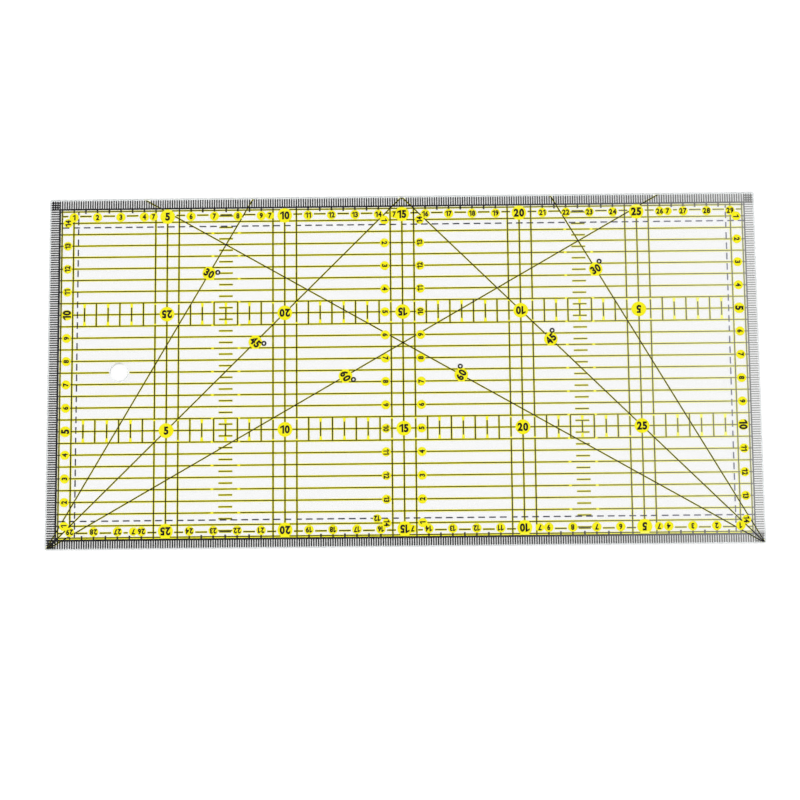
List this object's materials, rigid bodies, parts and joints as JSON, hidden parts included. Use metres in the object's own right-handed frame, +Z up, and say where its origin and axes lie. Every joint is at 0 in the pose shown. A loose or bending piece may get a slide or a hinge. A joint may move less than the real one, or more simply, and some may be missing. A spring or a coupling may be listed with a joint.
{
  "type": "quilting ruler",
  "caption": "Clear rectangular quilting ruler with a printed centimetre grid, millimetre edge scales, angle lines and seam lines, and one round hang hole.",
  "frame": {"origin": "centre of the ruler's footprint, on the surface it lies on, printed side down", "axes": "+X along the 300 mm length, from the hang-hole end to the plain end; +Y across the 150 mm width, from the front scale to the back scale; +Z up out of the clear top face"},
  "size_m": [0.3, 0.15, 0.0031],
  "materials": {
    "clear_acrylic": "clear, polished cast acrylic",
    "black_ink": "screen-printed ink, semi-matt",
    "yellow_ink": "screen-printed ink, semi-matt"
  },
  "bodies": {
    "root": {"acrylic_sheet": "clear_acrylic", "angle_lines_30": "black_ink", "angle_lines_45": "black_ink", "angle_lines_60": "black_ink", "band_ticks_back": "black_ink", "band_ticks_front": "black_ink", "column_dashes": "black_ink", "edge_scale_back": "black_ink", "edge_scale_front": "black_ink", "edge_scale_left": "black_ink", "edge_scale_right": "black_ink", "grid_lines": "black_ink", "numerals_angles": "black_ink", "numerals_back": "black_ink", "numerals_bands": "black_ink", "numerals_front": "black_ink", "numerals_left": "black_ink", "numerals_middle": "black_ink", "numerals_right": "black_ink", "numerals_seams": "black_ink", "seam_dashes_12mm": "black_ink", "seam_line_7mm": "black_ink", "yellow_angle_lines_30": "yellow_ink", "yellow_angle_lines_45": "yellow_ink", "yellow_angle_lines_60": "yellow_ink", "yellow_band_ticks": "yellow_ink", "yellow_column_dashes": "yellow_ink", "yellow_discs_angle": "yellow_ink", "yellow_discs_back": "yellow_ink", "yellow_discs_band": "yellow_ink", "yellow_discs_front": "yellow_ink", "yellow_discs_left": "yellow_ink", "yellow_discs_middle": "yellow_ink", "yellow_discs_right": "yellow_ink", "yellow_discs_seam": "yellow_ink", "yellow_frame_back": "yellow_ink", "yellow_frame_front": "yellow_ink", "yellow_frame_left": "yellow_ink", "yellow_frame_right": "yellow_ink", "yellow_grid_lines": "yellow_ink", "yellow_seam_lines": "yellow_ink"}
  },
  "joints": []
}
